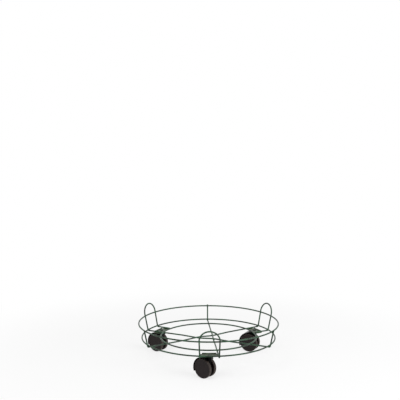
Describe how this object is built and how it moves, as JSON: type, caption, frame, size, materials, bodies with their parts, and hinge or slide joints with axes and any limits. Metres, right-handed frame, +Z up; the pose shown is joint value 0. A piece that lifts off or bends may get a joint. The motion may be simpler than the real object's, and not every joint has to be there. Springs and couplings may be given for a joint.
{
  "type": "plant caddy",
  "caption": "Round wire plant caddy with raised hoops and spokes that carry a pot, on swivelling twin-wheel casters.",
  "frame": {"origin": "on the floor, on the common axis of the three rings", "axes": "+Z up, -Y towards the front hoop and its caster"},
  "size_m": [0.305, 0.3145, 0.1067],
  "materials": {
    "coated_wire": "dark green powder coat, satin",
    "coated_plate": "dark green powder coat, satin",
    "zinc_steel": "dull zinc plating",
    "hood_plastic": "black moulded plastic, semi-gloss",
    "wheel_plastic": "black moulded plastic, scuffed matt"
  },
  "bodies": {
    "frame": {"upper_ring": "coated_wire", "lower_ring": "coated_wire", "inner_ring": "coated_wire", "front_frame_wire": "coated_wire", "front_caster_plate": "coated_plate", "front_caster_stem": "zinc_steel", "front_thrust_washer": "zinc_steel", "front_snap_ring": "zinc_steel", "right_frame_wire": "coated_wire", "right_caster_plate": "coated_plate", "right_caster_stem": "zinc_steel", "right_thrust_washer": "zinc_steel", "right_snap_ring": "zinc_steel", "left_frame_wire": "coated_wire", "left_caster_plate": "coated_plate", "left_caster_stem": "zinc_steel", "left_thrust_washer": "zinc_steel", "left_snap_ring": "zinc_steel"},
    "front_caster": {"front_caster_hood": "hood_plastic", "front_axle": "zinc_steel"},
    "front_wheel_1": {"front_wheel_1": "wheel_plastic"},
    "front_wheel_2": {"front_wheel_2": "wheel_plastic"},
    "right_caster": {"right_caster_hood": "hood_plastic", "right_axle": "zinc_steel"},
    "right_wheel_1": {"right_wheel_1": "wheel_plastic"},
    "right_wheel_2": {"right_wheel_2": "wheel_plastic"},
    "left_caster": {"left_caster_hood": "hood_plastic", "left_axle": "zinc_steel"},
    "left_wheel_1": {"left_wheel_1": "wheel_plastic"},
    "left_wheel_2": {"left_wheel_2": "wheel_plastic"}
  },
  "joints": [
    {"name": "front_swivel", "type": "hinge", "parent": "frame", "child": "front_caster", "pos_m": [0, -0.1212, 0.0453], "axis": [0, 0, 1], "continuous": true},
    {"name": "front_spin_1", "type": "hinge", "parent": "front_caster", "child": "front_wheel_1", "pos_m": [-0.00784, -0.11483, 0.02], "axis": [-0.6307, -0.776, 0], "continuous": true},
    {"name": "front_spin_2", "type": "hinge", "parent": "front_caster", "child": "front_wheel_2", "pos_m": [-0.00784, -0.11483, 0.02], "axis": [-0.6307, -0.776, 0], "continuous": true},
    {"name": "right_swivel", "type": "hinge", "parent": "frame", "child": "right_caster", "pos_m": [0.10496, 0.0606, 0.0453], "axis": [0, 0, 1], "continuous": true},
    {"name": "right_spin_1", "type": "hinge", "parent": "right_caster", "child": "right_wheel_1", "pos_m": [0.09592, 0.06511, 0.02], "axis": [-0.4462, -0.8949, 0], "continuous": true},
    {"name": "right_spin_2", "type": "hinge", "parent": "right_caster", "child": "right_wheel_2", "pos_m": [0.09592, 0.06511, 0.02], "axis": [-0.4462, -0.8949, 0], "continuous": true},
    {"name": "left_swivel", "type": "hinge", "parent": "frame", "child": "left_caster", "pos_m": [-0.10496, 0.0606, 0.0453], "axis": [0, 0, 1], "continuous": true},
    {"name": "left_spin_1", "type": "hinge", "parent": "left_caster", "child": "left_wheel_1", "pos_m": [-0.11285, 0.06692, 0.02], "axis": [-0.6252, -0.7804, 0], "continuous": true},
    {"name": "left_spin_2", "type": "hinge", "parent": "left_caster", "child": "left_wheel_2", "pos_m": [-0.11285, 0.06692, 0.02], "axis": [-0.6252, -0.7804, 0], "continuous": true}
  ]
}
